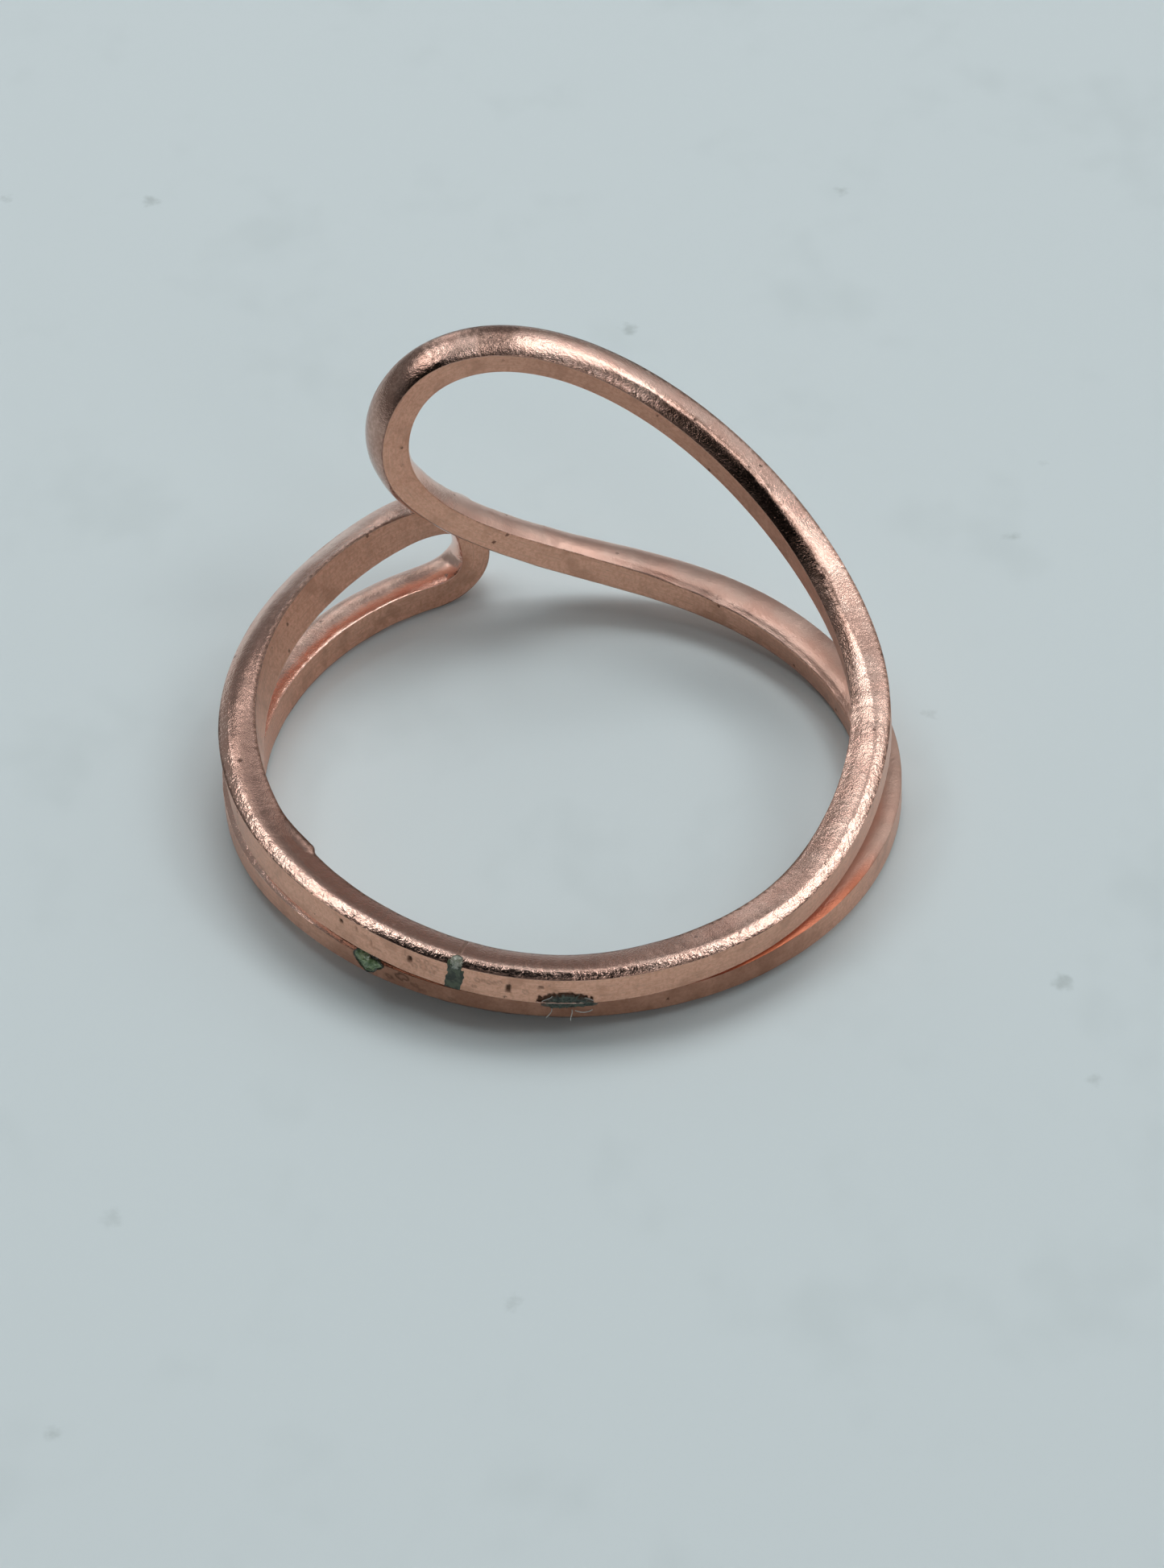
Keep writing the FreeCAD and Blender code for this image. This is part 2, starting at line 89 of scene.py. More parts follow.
class Course:
    """A closed cubic spline through the stations, by chord length."""

    def __init__(self, stations):
        table = np.array(stations, float)
        centres = ring_point(table[:, 0], table[:, 1], table[:, 2])
        self.values = np.concatenate([centres, table[:, 3:]], 1)
        steps = np.linalg.norm(np.roll(self.values[:, :3], -1, 0) - self.values[:, :3], axis=1)
        self.knots = np.concatenate([[0], np.cumsum(steps)])
        self.length = self.knots[-1]
        self.bends = self.solve_bends(steps)

    def solve_bends(self, steps):
        """Second derivatives at the stations, from the periodic spline's equations."""
        count = len(steps)
        before = np.roll(steps, 1)
        rise = (np.roll(self.values, -1, 0) - self.values) / steps[:, None]
        matrix = np.zeros((count, count))
        for i in range(count):
            matrix[i, i - 1] += before[i]
            matrix[i, i] += 2 * (before[i] + steps[i])
            matrix[i, (i + 1) % count] += steps[i]
        return np.linalg.solve(matrix, 6 * (rise - np.roll(rise, 1, 0)))

    def at(self, along):
        """Values and their slopes at these distances along the course."""
        along = np.mod(along, self.length)
        i = np.clip(np.searchsorted(self.knots, along, "right") - 1, 0, len(self.values) - 1)
        j = (i + 1) % len(self.values)
        step = (self.knots[i + 1] - self.knots[i])[:, None]
        t = (along - self.knots[i])[:, None]
        left, right = step - t, t
        a, b = self.values[i], self.values[j]
        c, d = self.bends[i], self.bends[j]
        value = (c * left ** 3 + d * right ** 3) / (6 * step) \
            + (a / step - c * step / 6) * left + (b / step - d * step / 6) * right
        slope = (d * right ** 2 - c * left ** 2) / (2 * step) + (b - a) / step - (d - c) * step / 6
        return value, slope


course = Course(COURSE)

# ===== The wire's section and its surface detail =====

# Points round the section: inner face, upper crown, outer face, lower crown.
INNER, UPPER, OUTER, LOWER = range(4)
POINTS = (12, 28, 22, 16)
CORNER_PASSES = 3  # times that the outline is smoothed, which rounds its corners
LOWER_SHARPNESS = 2.3


def spread(count):
    """Positions from -1 to 1, closer together near the ends, without the last one."""
    return -np.cos(np.linspace(0, math.pi, count + 1))[:-1]


SIDE = np.repeat(np.arange(4), POINTS)
ACROSS = np.concatenate([spread(count) for count in POINTS])


def crown(across, inner_half, outer_half, depth, sharpness, ridge):
    """Height of a crowned flank over the section's centre line."""
    reach = np.where(across > ridge, (across - ridge) / (1 - ridge), (ridge - across) / (1 + ridge))
    chord = inner_half + (outer_half - inner_half) * (1 + across) / 2
    peak = inner_half + (outer_half - inner_half) * (1 + ridge) / 2
    return chord + (depth - peak) * (1 - reach ** sharpness)


def section_points(values):
    """The section's outline at each sample, as distances outwards and upwards."""
    outer_up, outer_down, inner_half, sharpness, ridge = (values[:, 4 + i, None] for i in range(5))
    outline = np.zeros((2, len(values), len(SIDE)))
    outwards, upwards = outline
    for side in range(4):
        here = SIDE == side
        q = ACROSS[here]
        if side == INNER:
            outwards[:, here] = -HALF_THICKNESS
            upwards[:, here] = inner_half * q
        elif side == UPPER:
            outwards[:, here] = HALF_THICKNESS * q
            upwards[:, here] = crown(q, inner_half, outer_up, HALF_DEPTH, sharpness, ridge)
        elif side == OUTER:
            outwards[:, here] = HALF_THICKNESS
            upwards[:, here] = outer_up * (1 - q) / 2 - outer_down * (1 + q) / 2
        else:
            outwards[:, here] = -HALF_THICKNESS * q
            upwards[:, here] = -crown(-q, inner_half, outer_down, HALF_DEPTH, LOWER_SHARPNESS, 0)
    for _ in range(CORNER_PASSES):
        outline = outline / 2 + (np.roll(outline, 1, 2) + np.roll(outline, -1, 2)) / 4
    return outline


def waves(along, across, seed, count, longest, shortest, lean=1.0):
    """Smooth uneven waves, from -1 to 1, made of seeded sines along and across the wire."""
    draw = np.random.default_rng(seed)
    total = np.zeros(np.broadcast(along, across).shape)
    for _ in range(count):
        period = longest * (shortest / longest) ** draw.random()
        slant = lean * draw.normal()
        phase = 2 * math.pi * draw.random()
        total = total + np.sin(2 * math.pi * along / period + slant * across + phase)
    return total / math.sqrt(count)


def bell(distance, width):
    """1 at no distance, falling smoothly to 0 a few widths away."""
    return np.exp(-(distance / width) ** 2)


def fade(value, low, high):
    """0 below low, 1 above high, smooth in between."""
    t = np.clip((value - low) / (high - low), 0, 1)
    return t * t * (3 - 2 * t)


def between(value, low, high, soft):
    """1 from low to high and 0 beyond, with soft ends."""
    return fade(value, low - soft, low) * (1 - fade(value, high, high + soft))


def cross_ticks(along, seed, spacing):
    """Uneven little ticks across the wire, from 0 to 1, about this far apart."""
    draw = np.random.default_rng(seed)
    enough = int(course.length / spacing * 1.3)
    marks = np.cumsum(spacing * (0.55 + 0.9 * draw.random(enough)))
    depth = 0.3 + 0.7 * draw.random(enough)
    nearest = np.clip(np.searchsorted(marks, along), 1, enough - 1)
    ticks = np.zeros(along.shape)
    for i in (nearest - 1, nearest):
        ticks = np.maximum(ticks, depth[i] * bell(along - marks[i], spacing * 0.28))
    return ticks


FACE_HALF = 0.45  # half the height of a flat face, near enough

# Marks on the outer face near the joint: distance along the course, height on the face,
# width and height of the pit, depth of the pit, height of its rim.
FACE_PITS = (
    (1.45, 0.00, 0.11, 0.25, 0.050, 0.018), (1.47, 0.20, 0.02, 0.12, 0.020, 0.004),
    (-1.26, 0.12, 0.11, 0.17, 0.045, 0.018), (-1.42, 0.28, 0.03, 0.20, 0.025, 0.005),
    (2.30, 0.17, 0.13, 0.08, 0.030, 0.010), (2.52, 0.24, 0.06, 0.05, 0.020, 0.006),
    (-2.62, 0.16, 0.30, 0.05, 0.030, 0.012), (-2.46, 0.02, 0.05, 0.26, 0.030, 0.012),
    (-2.95, 0.26, 0.06, 0.14, 0.026, 0.008), (-2.25, -0.12, 0.26, 0.04, 0.028, 0.010),
    (-3.45, 0.22, 0.10, 0.10, 0.030, 0.010), (3.9, -0.20, 0.12, 0.05, 0.020, 0.006),
)
# Rings left by flux bubbles: distance along the course, height on the face, radius, height.
FACE_RINGS = (
    (0.62, 0.12, 0.050, 0.010), (0.78, 0.15, 0.035, 0.008), (0.93, 0.12, 0.045, 0.010),
    (1.08, 0.14, 0.035, 0.008), (1.22, 0.20, 0.040, 0.009), (0.55, -0.16, 0.040, 0.006),
    (-0.55, 0.10, 0.070, 0.009), (-0.62, -0.10, 0.050, 0.008), (-0.78, 0.22, 0.050, 0.010),
    (-0.86, 0.00, 0.075, 0.009), (-1.02, 0.18, 0.045, 0.008), (-1.12, -0.08, 0.060, 0.008),
    (-1.28, 0.05, 0.040, 0.008), (1.9, -0.05, 0.05, 0.005), (2.7, -0.02, 0.06, 0.002),
)
RIM_WIDTH = 0.022
RING_RISE = 1.8  # what the rings' heights are multiplied by
FACE_MARKS_REACH = 6  # how far from the upper joint the outer face has marks
SEAM_CAVITY = 2.95  # where the glassy patch sits in the seam, along the course
CAVITY_HALF = 0.80
CAVITY_BOTTOM = -0.42  # the height on the face that the hollow's roof rises from
CAVITY_HEIGHT = 0.40
CAVITY_DEPTH = 0.07
CAVITY_RIM = 0.012


def pit_marks(s, v, wobble, pit):
    """Relief and stain of one pit with a raised rim. Narrow pits are stained less."""
    place, level, wide, tall, depth, rim = pit
    outside = np.maximum(np.abs(s - place) - wide / 2, np.abs(v - level) - tall / 2) + wobble
    height = rim * bell(outside - RIM_WIDTH, RIM_WIDTH) - depth * (1 - fade(outside, -0.02, 0.02))
    broad = 0.25 + 0.75 * fade(min(wide, tall), 0.05, 0.10)
    return height, broad * (1 - fade(outside, -0.015, 0.035))


def bubble_marks(s, v, wobble, ring):
    """Relief and stain of one bubble's ring, dished in the middle."""
    place, level, radius, rise = ring
    away = np.hypot(s - place, v - level) + 0.3 * wobble
    height = RING_RISE * rise * (bell(away - radius, RIM_WIDTH) - 0.5 * bell(away, radius * 0.6))
    return height, 0.35 * bell(away - radius * 1.3, 0.025)


def cavity_marks(s, v, wobble):
    """Relief and stain of the ragged hollow that the seam's patch sits in."""
    ragged = 0.17 * waves(s * 4, v * 6, 32, 9, 4.0, 0.45, 1.0) + wobble * 4
    edge = (np.abs(s - SEAM_CAVITY) / CAVITY_HALF) ** 2 \
        + (np.maximum(v - CAVITY_BOTTOM, 0) / CAVITY_HEIGHT) ** 2 + ragged
    height = CAVITY_RIM * bell(edge - 1.0, 0.10) - CAVITY_DEPTH * (1 - fade(edge, 0.82, 0.98))
    return height, 1 - fade(edge, 0.75, 1.0)


def face_marks(s, v, outer):
    """Relief and stain of the pits, bubble rings and cavity on the upper strand's outer face."""
    s = np.where(s > course.length / 2, s - course.length, s)
    near = (np.abs(s) < FACE_MARKS_REACH) & outer
    wobble = 0.006 * waves(s * 9, v * 9, 31, 6, 3.0, 1.0, 1.5)
    marks = [pit_marks(s, v, wobble, pit) for pit in FACE_PITS]
    marks += [bubble_marks(s, v, wobble, ring) for ring in FACE_RINGS]
    marks.append(cavity_marks(s, v, wobble))
    height = sum(rise for rise, _ in marks)
    stain = np.maximum.reduce([shade for _, shade in marks])
    return near * height, near * stain


# Burnt flux on the outer face of the lower strand: distance along the course, height on the
# face, radius of the ring, how dark it is. The wire is turned over there, so q points up.
LOWER_STAINS = (
    (80.72, 0.18, 0.17, 0.80), (80.35, -0.05, 0.08, 0.50), (81.09, -0.10, 0.09, 0.60),
    (80.10, -0.22, 0.07, 0.35), (79.30, -0.25, 0.06, 0.30),
)


def lower_stains(s, v):
    """Dark uneven rings where beads of flux burnt away on the lower strand."""
    wobble = 0.035 * waves(s * 6, v * 8, 33, 8, 3.0, 0.6, 1.2)
    stain = np.zeros(np.broadcast(s, v).shape)
    for place, level, radius, dark in LOWER_STAINS:
        away = np.hypot(s - place, v - level) + wobble
        stain = np.maximum(stain, dark * (bell(away - radius, 0.05) + 0.3 * bell(away, radius)))
    return np.minimum(stain, 1)


# Burrs on the upper crown: distance along the course, place across the crown, length, width
# and height.
BURRS = (
    (25.5, -0.15, 0.13, 0.10, 0.030),
    (26.1, -0.26, 0.10, 0.08, 0.022),
    (25.8, -0.05, 0.25, 0.06, 0.018),
    (22.2, -0.33, 0.16, 0.16, 0.035),
    (36.8, -0.72, 0.14, 0.12, 0.016),
)
HOOK_PLACE = 6.45  # a raised mark like a small hook, on the crown right of the upper joint
HOOK_RADIUS = 0.17
HOOK_OPENING = 2.4  # the direction that its arc faces, in radians
HOOK_HEIGHT = 0.016


def arm_line(s):
    """Where a row of beads crosses the crown, as it slants along the right arm."""
    return -0.35 + 0.105 * (22 - s)


def crown_marks(s, q):
    """Burrs, a wandering ridge, rows of beads and nicks, and the hook, on the upper crown."""
    height = sum(tall * bell(s - place, length) * bell(q - across, width)
                 for place, across, length, width, tall in BURRS)
    ridge = -0.30 - 0.10 * np.sin(s * 1.1) - 0.06 * np.sin(s * 3.7)
    height = height + 0.010 * between(s, 22.5, 33, 2) * bell(q - ridge, 0.07)
    arm_beads = between(s, 7, 21.9, 1) * cross_ticks(s, 41, 0.17) * bell(q - arm_line(s), 0.07)
    arm_nicks = between(s, 10.5, 19, 1) * cross_ticks(s, 42, 0.15) * bell(q + 0.72, 0.14)
    left_beads = between(s, 106.5, 115.5, 1.5) * cross_ticks(s, 43, 0.17) * bell(q + 0.86, 0.08)
    height = height + 0.016 * arm_beads - 0.012 * arm_nicks + 0.016 * left_beads
    hook_s, hook_q = s - HOOK_PLACE, q * FACE_HALF
    arc = fade(np.cos(np.arctan2(hook_q, hook_s) - HOOK_OPENING), -0.1, 0.4)
    return height + HOOK_HEIGHT * bell(np.hypot(hook_s * 0.75, hook_q) - HOOK_RADIUS, 0.030) * arc


def hairpin_marks(s, q):
    """Lumps along the hairpin's inner upper arris, and a groove beside the lower arm's."""
    lumps = 0.016 * between(s, 92, 103, 1) * cross_ticks(s, 44, 0.42) * bell(q - 0.9, 0.18)
    groove = 0.018 * between(s, 44, 60, 2) * bell(q - 0.82 - 0.03 * np.sin(s * 2.1), 0.05)
    return lumps - groove


# Masks for the material, from 0 to 1. Distances along the wire run from the upper joint over
# the right arm (8 to 30), the large loop's top (30 to 42), its lower arm (44 to 80), the lower
# joint (82), the hairpin (92 to 106) and the left arm (106 to 120), back to the upper joint.

def browning(along):
    """1 where the lower front is made darker and browner, less on two of the arms' flanks."""
    s = along[:, None]
    rising_arm = 0.4 * between(s, 15, 33, 4) * (SIDE == INNER)
    low_flank = 0.45 * between(s, 58, 74, 3) * (SIDE == LOWER)
    return np.maximum(between(s, 71, 81, 3.5), np.maximum(rising_arm, low_flank))


def flush(along):
    """1 where the lower arm is painted orange red, for the light that the strand over it passes on."""
    s, q = along[:, None], ACROSS
    return between(s, 67, 71, 2.2) * (1 - fade(q, -0.80, -0.40)) * (SIDE == LOWER)


def wear(along):
    """0 where the crown is polished and 1 where it is satin and browner."""
    s = along[:, None]
    front = (1 - between(s, 10, 107, 7)) * (1 - fade(ACROSS, 0.20, 0.55))
    return front * (SIDE == UPPER)


def satin(along):
    """1 on the flanks that were left with a brushed satin finish, facing up on the lower arms."""
    s = along[:, None]
    return np.maximum(between(s, 44, 78, 3) * (SIDE == LOWER), 0.55 * wear(along))


def tarnish_and_painted_reflection(along):
    """How dark the upper crown is along its edges and in bands: partly tarnish, and partly painted dark
    reflections that stand in for reflections of dark things beside the ring, which softboxes far away
    can't give."""
    s, q = along[:, None], ACROSS
    ragged = waves(s * 3, q * 3, 15, 9, 3.0, 0.4, 1.5)
    edge = np.abs(q) + 0.05 * ragged
    inner_edge = (q < 0) * fade(edge, 0.80, 0.95) * (1 - between(s, 13, 19, 2))
    outer_edge = (q > 0) * fade(edge, 0.76, 0.96) * between(s, 14, 37, 2)
    front_edge = 0.9 * (1 - between(s, 14, 114, 3)) * fade(q + 0.015 * ragged, 0.86, 0.94)
    band_reach = -0.03 - 0.16 * np.clip(22 - s, 0, 4) + 0.05 * ragged
    arm_band = 0.85 * between(s + 0.3 * ragged, 18, 29, 1.6) \
        * (1 - fade(q, band_reach - 0.15, band_reach + 0.12))
    shifted = s + 0.25 * ragged
    top_bands = 0.75 * (between(shifted, 34.7, 35.5, 0.5) + between(shifted, 37.1, 42, 0.6))
    film = np.maximum.reduce([inner_edge, outer_edge, front_edge, arm_band, top_bands])
    return film * (SIDE == UPPER)


def speckle(along):
    """1 where the metal was left finely hammered, so that its highlights break into specks."""
    s, q = along[:, None], ACROSS
    front = (1 - between(s, 19, 113, 4)) * fade(q, 0.25, 0.45)
    loop_top = 0.3 * between(s, 33, 37.5, 0.8) * (1 - fade(np.abs(q + 0.3), 0.5, 0.8))
    arm_ridge = 0.7 * between(s, 8, 22, 1) * bell(q - arm_line(s), 0.22)
    hairpin = between(s, 105, 116, 1.5) * (1 - fade(q, -0.75, -0.55))
    return np.clip(front + loop_top + arm_ridge + hairpin, 0, 1) * (SIDE == UPPER)


KINK_START = 120.6  # the inner face rises from here to a step, left of the upper joint
KINK_END = 122.6
KINK_HEIGHT = 0.12
SURFACE_DROP = 0.014  # what the plain surface lies lower by, so that the marks stay in the box


def relief(along):
    """How far each point of the wire's surface stands out from the plain section, and its stain."""
    s = along[:, None]
    q, side = ACROSS, SIDE
    crowned = (side == UPPER) | (side == LOWER)
    inside = np.sqrt(np.clip(1 - q ** 2, 0, 1))
    planished = (0.010 - 0.005 * between(s, 8, 32, 3)) * waves(s, q, 11, 10, 4.2, 1.1)
    rippled = (0.0032 - 0.0022 * between(s, 22, 40, 2)) * waves(s, q, 12, 12, 0.7, 0.25, 2.0)
    flats = 0.0030 * waves(s, q, 13, 10, 2.5, 0.5)
    worked = (planished + rippled) * (0.35 + 0.65 * inside)
    height = np.where(crowned, worked, flats * (0.3 + 0.7 * inside))
    height = height + (side == UPPER) * crown_marks(s, q)
    height = height + (side == LOWER) * hairpin_marks(s, q)
    kink = fade(s, KINK_START, KINK_END - 0.05) * (1 - fade(s, KINK_END, KINK_END + 0.25))
    kinked = np.where(side == INNER, 1.0, (side == UPPER) * bell(q + 1, 0.25))
    height = height + KINK_HEIGHT * kink * kinked
    marks, stain = face_marks(s, -q * FACE_HALF, side == OUTER)
    stain = np.maximum(stain, (side == OUTER) * lower_stains(s, q * FACE_HALF))
    return height + marks - SURFACE_DROP, stain


# ===== Mesh making =====

FLOOR_CLEARANCE = 0.002
COARSE_STEP = 0.10
FINE_STEP = 0.035


def add_object(name, data):
    """A new object in the scene."""
    added = bpy.data.objects.new(name, data)
    bpy.context.scene.collection.objects.link(added)
    return added


def turned(first, second, angle):
    """Two directions at right angles, turned together in their plane."""
    cosine, sine = math.cos(angle), math.sin(angle)
    return first * cosine + second * sine, second * cosine - first * sine


def new_mesh_object(name, points, faces, smooth=True):
    """A mesh object from millimetre points and a list of faces."""
    mesh = bpy.data.meshes.new(name)
    mesh.from_pydata([tuple(p) for p in np.asarray(points) * MM], [], [tuple(f) for f in faces])
    mesh.validate()
    if smooth:
        mesh.polygons.foreach_set("use_smooth", np.ones(len(mesh.polygons), bool))
    mesh.update()
    return add_object(name, mesh)


def add_attribute(piece, name, values):
    """Gives the piece's material a number for each point, under this name."""
    attribute = piece.data.attributes.new(name, "FLOAT", "POINT")
    attribute.data.foreach_set("value", np.ravel(values).astype(np.float32))


def tube_faces(rings, around):
    """Quads between rings, and one cap at each end."""
    i = np.arange(rings - 1)[:, None] * around
    j = np.arange(around)[None]
    k = (j + 1) % around
    quads = np.stack([i + j, i + k, i + around + k, i + around + j], -1).reshape(-1, 4)
    first = list(reversed(range(around)))
    last = [(rings - 1) * around + n for n in range(around)]
    return [*quads.tolist(), first, last]


def unit(vectors):
    """These vectors, with a length of 1."""
    return vectors / np.linalg.norm(vectors, axis=1)[:, None]


def sweep(along, extra=None):
    """Surface points of the wire at these distances, with their place in the section and stain."""
    values, slopes = course.at(along)
    centre = values[:, :3]
    tangent = unit(slopes[:, :3])
    outward = centre * (1, 1, 0)
    outward = unit(outward - tangent * np.sum(outward * tangent, 1)[:, None])
    upward = np.cross(outward, tangent)
    turn = np.radians(values[:, 3])[:, None]
    face = outward * np.cos(turn) + upward * np.sin(turn)
    side = upward * np.cos(turn) - outward * np.sin(turn)
    across, up = section_points(values)
    edge_across = np.roll(across, -1, 1) - np.roll(across, 1, 1)
    edge_up = np.roll(up, -1, 1) - np.roll(up, 1, 1)
    size = np.hypot(edge_across, edge_up)
    height, stain = relief(along)
    if extra is not None:
        height = height + extra(along)
    across = across - height * edge_up / size
    up = up + height * edge_across / size
    points = centre[:, None] + across[..., None] * face[:, None] + up[..., None] * side[:, None]
    points[..., 2] = np.maximum(points[..., 2], FLOOR_CLEARANCE)
    return points, across, up, stain


def ring_places(start, end, joints):
    """Places for the rings of points: close together near the joints, wider apart elsewhere."""
    places = [start]
    while places[-1] < end:
        reach = min(abs(places[-1] - joint) for joint in joints)
        step = FINE_STEP + (COARSE_STEP - FINE_STEP) * float(fade(reach, 4.0, 5.5))
        places.append(places[-1] + step)
    return np.array(places[:-1] + [end])


def finish_sweep(name, along, extra=None):
    """A piece swept along the course, with the coordinates that its material uses."""
    points, across, up, stain = sweep(along, extra)
    rings, around = across.shape
    piece = new_mesh_object(name, points.reshape(-1, 3), tube_faces(rings, around))
    girth = np.cumsum(np.hypot(np.diff(across, axis=1, prepend=across[:, :1]),
                               np.diff(up, axis=1, prepend=up[:, :1])), 1)
    add_attribute(piece, "along", np.repeat(along, around))
    add_attribute(piece, "girth", girth)
    add_attribute(piece, "crowned", np.tile(np.isin(SIDE, (UPPER, LOWER)), rings))
    add_attribute(piece, "stain", stain)
    masks = {"worn": wear, "satin": satin, "tarnish_and_painted_reflection": tarnish_and_painted_reflection, "speckle": speckle,
             "browned": browning, "painted_bounce": flush}
    for mask_name, mask in masks.items():
        add_attribute(piece, mask_name, mask(along))
    return piece


def make_wire(name, start, end):
    """A length of the wire, with its marks."""
    joints = (0, course.length, course.knots[LOWER_JOINT])
    return finish_sweep(name, ring_places(start, end, joints))


# ===== Materials =====

class Graph:
    """A small helper for building a shader's node tree."""

    def __init__(self, owner):
        owner.use_nodes = True
        self.nodes = owner.node_tree.nodes
        self.links = owner.node_tree.links

    def add(self, kind, inputs=None, **settings):
        node = self.nodes.new(kind)
        for key, value in settings.items():
            setattr(node, key, value)
        for key, value in (inputs or {}).items():
            self.feed(value, node.inputs[key])
        return node

    def feed(self, value, socket):
        if isinstance(value, bpy.types.NodeSocket):
            self.links.new(value, socket)
        else:
            socket.default_value = value

    def shade(self, inputs):
        """Gives the material's shader its inputs: links, or numbers on its own sockets."""
        for name, value in inputs.items():
            self.feed(value, self.nodes["Principled BSDF"].inputs[name])

    def attribute(self, name):
        return self.add("ShaderNodeAttribute", attribute_name=name).outputs["Fac"]

    def math(self, operation, first, second=0.0, clamp=False):
        node = self.add("ShaderNodeMath", {0: first, 1: second}, operation=operation, use_clamp=clamp)
        return node.outputs[0]

    def add_up(self, *terms):
        total = terms[0]
        for term in terms[1:]:
            total = self.math("ADD", total, term)
        return total

    def times(self, first, second):
        return self.math("MULTIPLY", first, second)

    def less(self, first, second):
        return self.math("SUBTRACT", first, second)

    def mix_numbers(self, factor, first, second):
        node = self.add("ShaderNodeMix", data_type="FLOAT")
        for socket, value in zip((0, 2, 3), (factor, first, second)):
            self.feed(value, node.inputs[socket])
        return node.outputs[0]

    def bump(self, height, distance):
        """A bumped normal, where a height of 1 stands for this many millimetres."""
        settings = {"Height": height, "Strength": 1.0, "Distance": distance * MM}
        return self.add("ShaderNodeBump", settings).outputs["Normal"]

    def stretch(self, value, low, high, start=0.0, end=1.0):
        """Start where value is at low, end where it is at high, and smooth in between."""
        return self.add(
            "ShaderNodeMapRange",
            {"Value": value, "From Min": low, "From Max": high, "To Min": start, "To Max": end},
            interpolation_type="SMOOTHSTEP",
        ).outputs["Result"]

    def scaled(self, vector, factors):
        node = self.add("ShaderNodeVectorMath", {0: vector, 1: factors}, operation="MULTIPLY")
        return node.outputs["Vector"]

    def noise(self, vector, factors, detail=2.0, roughness=0.5, distortion=0.0):
        return self.add(
            "ShaderNodeTexNoise",
            {"Vector": self.scaled(vector, factors), "Scale": 1.0, "Detail": detail,
             "Roughness": roughness, "Distortion": distortion},
        ).outputs["Fac"]

    def scattered_spots(self, vector, factors, channel, low, high):
        """Distances from scattered points, and 1 round the few whose random number is high."""
        place = self.scaled(vector, factors)
        cells = self.add("ShaderNodeTexVoronoi", {"Vector": place, "Scale": 1.0})
        colour = self.add("ShaderNodeSeparateColor", {"Color": cells.outputs["Color"]})
        return cells.outputs["Distance"], self.stretch(colour.outputs[channel], low, high)

    def mix(self, factor, first, second):
        node = self.add("ShaderNodeMix", data_type="RGBA")
        self.feed(factor, node.inputs["Factor"])
        self.feed(first, node.inputs[6])
        self.feed(second, node.inputs[7])
        return node.outputs[2]

    def millimetres(self):
        """Object coordinates in millimetres."""
        place = self.add("ShaderNodeTexCoord").outputs["Object"]
        return self.scaled(place, (1 / MM, 1 / MM, 1 / MM))

    def wire_surface(self):
        """Millimetres along the wire and round it."""
        return self.add(
            "ShaderNodeCombineXYZ", {"X": self.attribute("along"), "Y": self.attribute("girth")}
        ).outputs["Vector"]


def new_material(name):
    material = bpy.data.materials.new(name)
    return material, Graph(material)


def rgb(red, green, blue):
    return (red, green, blue, 1.0)


# Copper's shades, mostly as pairs that a texture mixes.
POLISHED = (rgb(0.89, 0.545, 0.44), rgb(0.95, 0.63, 0.52))
SATIN = (rgb(0.47, 0.27, 0.21), rgb(0.64, 0.39, 0.32))
FLAT_FACE = (rgb(0.70, 0.365, 0.25), rgb(0.88, 0.505, 0.365))
FACE_BLOTCH = rgb(0.52, 0.27, 0.18)
FACE_STREAK = rgb(0.40, 0.20, 0.13)
DARKER_BROWNS = (rgb(0.24, 0.11, 0.07), rgb(0.45, 0.225, 0.15))
# The colour of the painted dark reflections on the crown, partly tarnish.
DARK_BAND = (rgb(0.13, 0.065, 0.045), rgb(0.30, 0.165, 0.12))
# Painted light, passed on to the lower arm from the strand over it.
ORANGE_RED = rgb(0.50, 0.13, 0.06)
PIT_BOTTOM = rgb(0.16, 0.08, 0.055)
FLUX_STAIN = rgb(0.14, 0.075, 0.05)


def copper_textures(g):
    """The noises that the copper's colour, roughness and bump share."""
    place = g.millimetres()
    surface = g.wire_surface()
    fine = g.noise(place, (26, 26, 26), 2, 0.5)
    distance, chosen = g.scattered_spots(place, (2.6, 2.6, 2.6), 0, 0.86, 0.90)
    ragged = g.math("ADD", distance, g.times(g.less(fine, 0.5), 0.35))
    return SimpleNamespace(
        grain=g.noise(place, (9, 9, 9), 4, 0.6),
        fine=fine,
        blotch=g.noise(place, (1.1, 1.1, 1.1), 3, 0.55),
        across_lines=g.noise(surface, (11, 1.6, 1), 3, 0.6, 0.3),
        along_lines=g.noise(surface, (0.9, 15, 1), 3, 0.6),
        patches=g.noise(surface, (0.55, 0.9, 1), 1),
        hammered=g.noise(surface, (6, 7.5, 1), 2, 0.5, 0.4),
        pit=g.times(g.stretch(ragged, 0.06, 0.20, 1.0, 0.0), chosen),
        crowned=g.attribute("crowned"),
        flat=g.less(1.0, g.attribute("crowned")),
        stain=g.attribute("stain"),
    )


